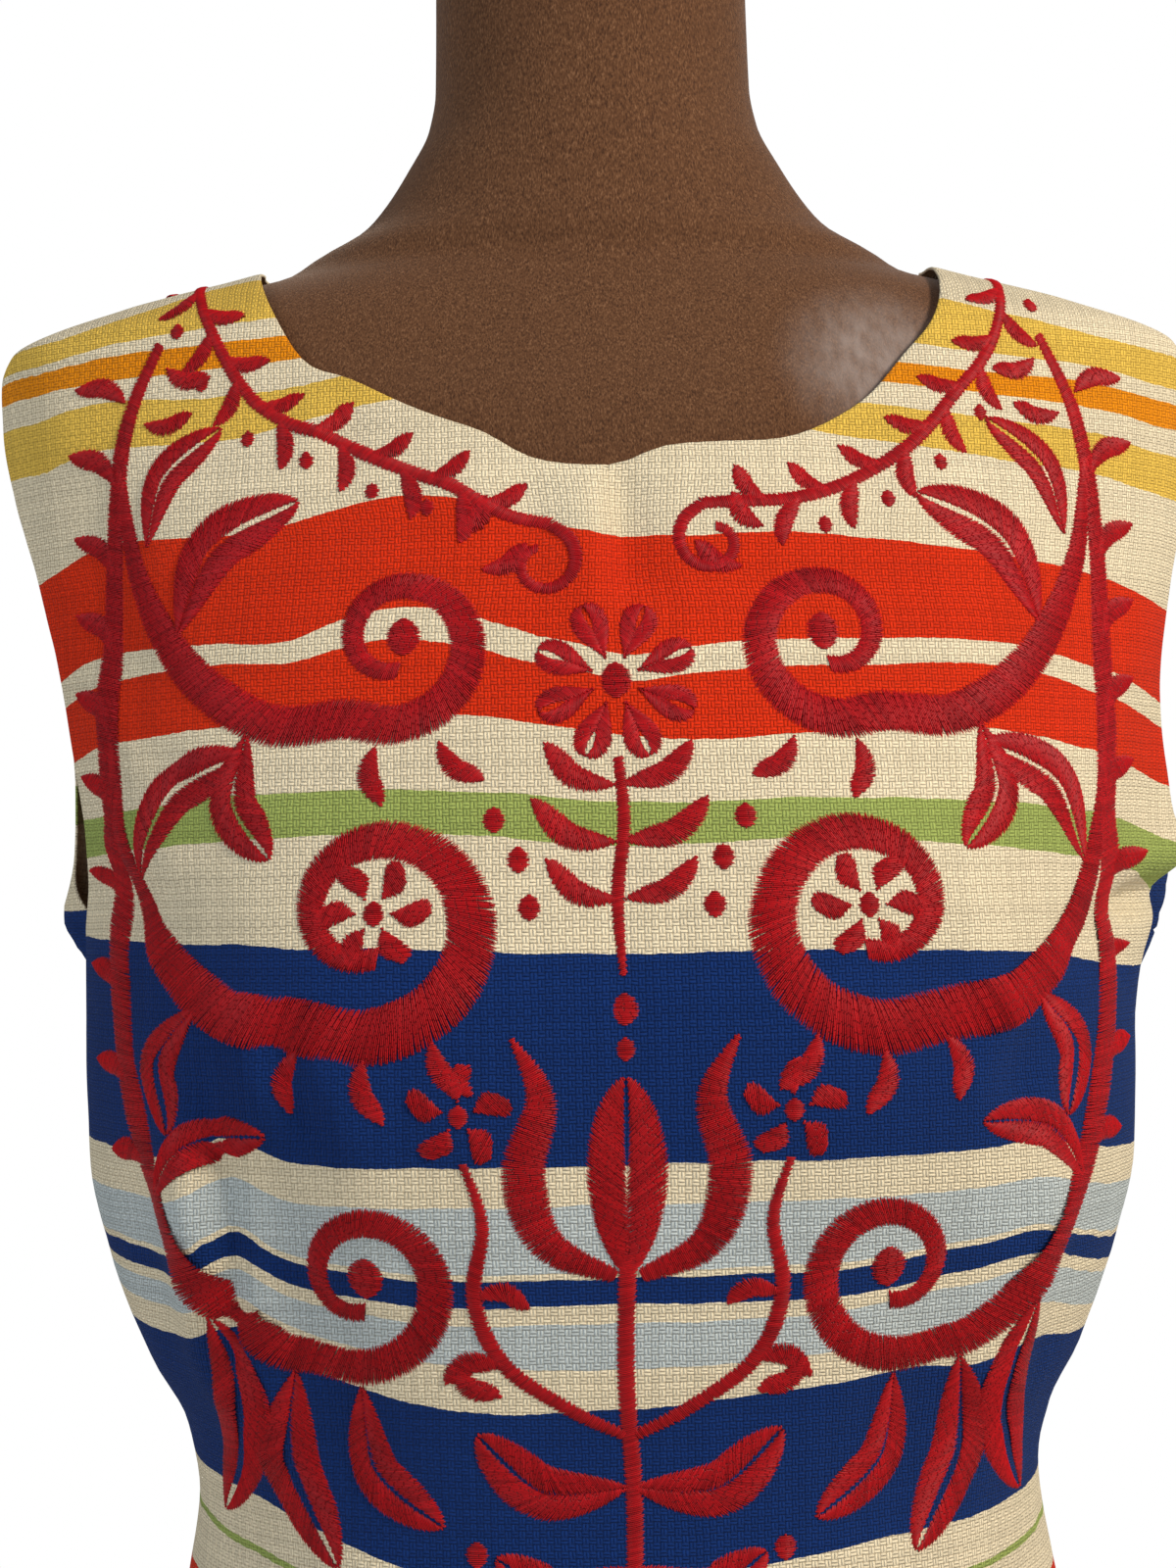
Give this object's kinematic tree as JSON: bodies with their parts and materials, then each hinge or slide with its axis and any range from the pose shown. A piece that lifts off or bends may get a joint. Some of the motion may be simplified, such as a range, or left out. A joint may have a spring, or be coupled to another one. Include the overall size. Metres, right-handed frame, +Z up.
{
  "type": "shift dress on a dress form",
  "caption": "Sleeveless shift dress with a round neck, fitted waist and back zip, worn by a limbless dress form on a round stand.",
  "frame": {"origin": "centre of the stand's underside, on the floor", "axes": "+Z up, -Y towards the front of the dress, +X to the right of someone facing its front"},
  "size_m": [0.4332, 0.37, 1.5663],
  "materials": {
    "dress_cloth": "coarse hand-woven cotton with stripes and red embroidery",
    "zip_coil": "closed nylon coil",
    "zip_metal": "plated zinc, satin",
    "form_cloth": "brown woven cover with a soft nap",
    "stand_wood": "turned, satin varnish",
    "stand_metal": "black powder coat"
  },
  "bodies": {
    "dress_on_form": {"front": "dress_cloth", "back_left": "dress_cloth", "back_right": "dress_cloth", "zip_coil": "zip_coil", "zip_slider": "zip_metal", "form_torso": "form_cloth", "neck_cap": "stand_wood", "pole_flange": "stand_metal", "stand_pole": "stand_metal", "stand_base": "stand_metal"},
    "zip_pull": {"zip_pull": "zip_metal"}
  },
  "joints": [
    {"name": "pull_swing", "type": "hinge", "parent": "dress_on_form", "child": "zip_pull", "pos_m": [0, 0.08813, 1.36126], "axis": [1, 0, 0], "range_deg": [0, 160]}
  ]
}
